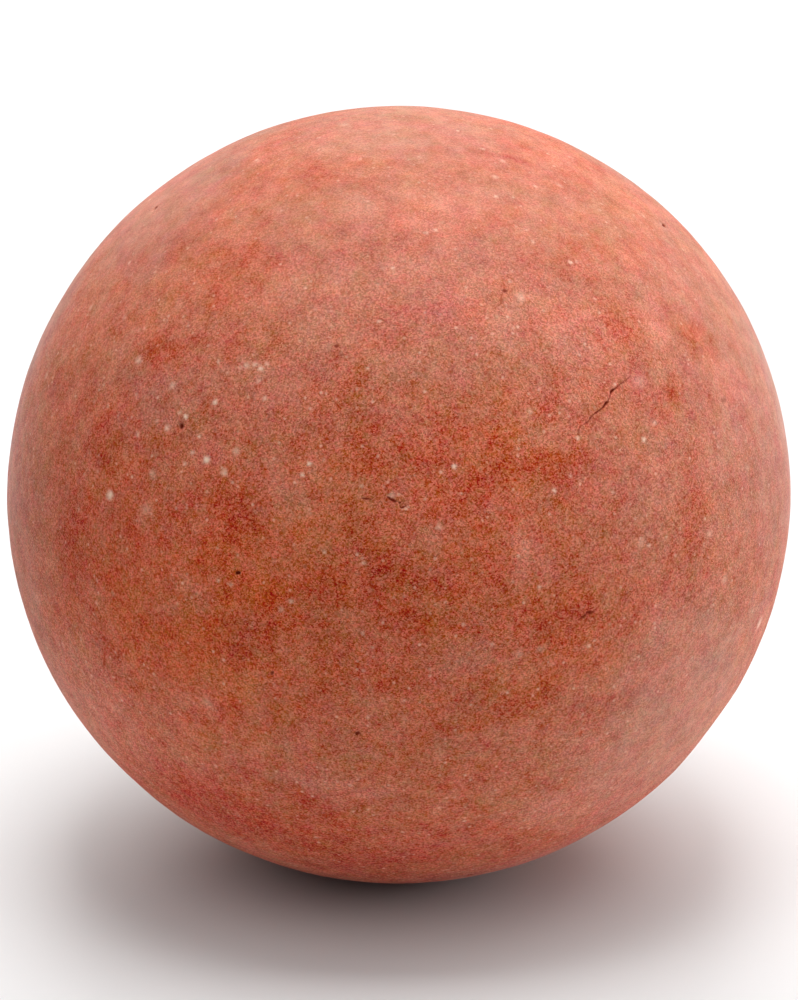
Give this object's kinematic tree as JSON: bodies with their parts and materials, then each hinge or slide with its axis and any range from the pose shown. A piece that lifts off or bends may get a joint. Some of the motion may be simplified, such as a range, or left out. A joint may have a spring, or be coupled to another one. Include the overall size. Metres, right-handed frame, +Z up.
{
  "type": "maifan stone ball",
  "caption": "Round, matt, brick-red mineral ball with a hairline crack and small pits, resting on a small flat spot.",
  "frame": {"origin": "middle of the flat spot that the ball rests on", "axes": "+Z up, away from the flat spot; -Y is the side that the picture shows, with +X to its right"},
  "size_m": [0.02, 0.02, 0.0198],
  "materials": {
    "stone": "matte"
  },
  "bodies": {
    "root": {"maifan_stone": "stone"}
  },
  "joints": []
}
